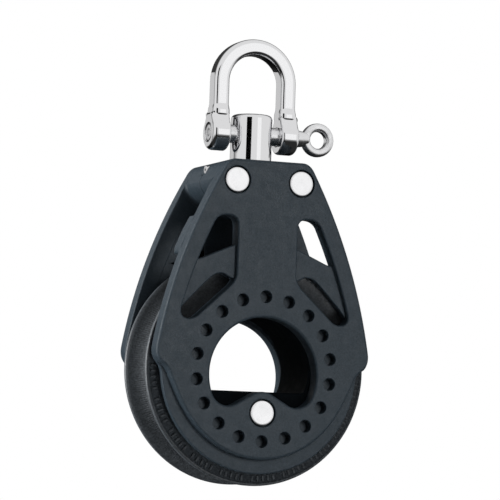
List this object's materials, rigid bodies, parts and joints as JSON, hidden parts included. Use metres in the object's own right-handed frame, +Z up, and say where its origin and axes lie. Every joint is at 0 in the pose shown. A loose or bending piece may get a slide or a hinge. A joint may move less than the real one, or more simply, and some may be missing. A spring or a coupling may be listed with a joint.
{
  "type": "single sheave block",
  "caption": "Single ball-bearing sheave block with two moulded teardrop cheeks round a grooved sheave, a large centre opening, and a swivel post with a forged shackle.",
  "frame": {"origin": "lowest point of the inside of the shackle bow's crown, on the mid-plane, where the block bears on what it hangs from", "axes": "+Z up along the swivel; the cheeks' outer faces look along -Y (front) and +Y (back); the shackle pin's ring points along +X"},
  "size_m": [0.075, 0.036, 0.146],
  "materials": {
    "cheek_nylon": "moulded charcoal-black glass-filled nylon, fine satin grain",
    "sheave_nylon": "moulded black nylon, finely ribbed line groove",
    "ball_acetal": "smooth acetal",
    "polished_steel": "mirror-polished forged stainless steel",
    "satin_steel": "satin stainless steel",
    "rivet_steel": "bright satin stainless steel"
  },
  "bodies": {
    "shackle": {"shackle_bow": "polished_steel"},
    "shackle_pin": {"shackle_pin": "satin_steel"},
    "swivel_post": {"swivel_post": "polished_steel", "thrust_washer": "satin_steel"},
    "block": {"front_cheek": "cheek_nylon", "back_cheek": "cheek_nylon", "hub": "cheek_nylon", "rivet_top_left": "rivet_steel", "rivet_top_right": "rivet_steel", "rivet_bottom": "rivet_steel"},
    "sheave": {"sheave": "sheave_nylon"},
    "balls": {"ball_01": "ball_acetal", "ball_02": "ball_acetal", "ball_03": "ball_acetal", "ball_04": "ball_acetal", "ball_05": "ball_acetal", "ball_06": "ball_acetal", "ball_07": "ball_acetal", "ball_08": "ball_acetal", "ball_09": "ball_acetal", "ball_10": "ball_acetal", "ball_11": "ball_acetal", "ball_12": "ball_acetal", "ball_13": "ball_acetal", "ball_14": "ball_acetal", "ball_15": "ball_acetal", "ball_16": "ball_acetal", "ball_17": "ball_acetal", "ball_18": "ball_acetal", "ball_19": "ball_acetal", "ball_20": "ball_acetal"},
    "lock_screw": {"lock_screw": "satin_steel"}
  },
  "joints": [
    {"name": "pin_withdraw", "type": "slide", "parent": "shackle", "child": "shackle_pin", "axis": [1, 0, 0], "range_m": [0, 0.03]},
    {"name": "shackle_hinge", "type": "hinge", "parent": "shackle", "child": "swivel_post", "pos_m": [0, 0, -0.0262], "axis": [1, 0, 0], "range_deg": [-95, 95]},
    {"name": "block_swivel", "type": "hinge", "parent": "swivel_post", "child": "block", "pos_m": [0, 0, -0.0432], "axis": [0, 0, 1], "continuous": true},
    {"name": "sheave_spin", "type": "hinge", "parent": "block", "child": "sheave", "pos_m": [0, 0, -0.1032], "axis": [0, 1, 0], "continuous": true},
    {"name": "ball_orbit", "type": "hinge", "parent": "block", "child": "balls", "pos_m": [0, 0, -0.1032], "axis": [0, 1, 0], "continuous": true},
    {"name": "lock_screw_travel", "type": "slide", "parent": "block", "child": "lock_screw", "axis": [-1, 0, 0], "range_m": [-0.0006, 0.008]}
  ],
  "couplings": [
    {"joint": "ball_orbit", "follows": "sheave_spin", "ratio": 0.5678}
  ]
}
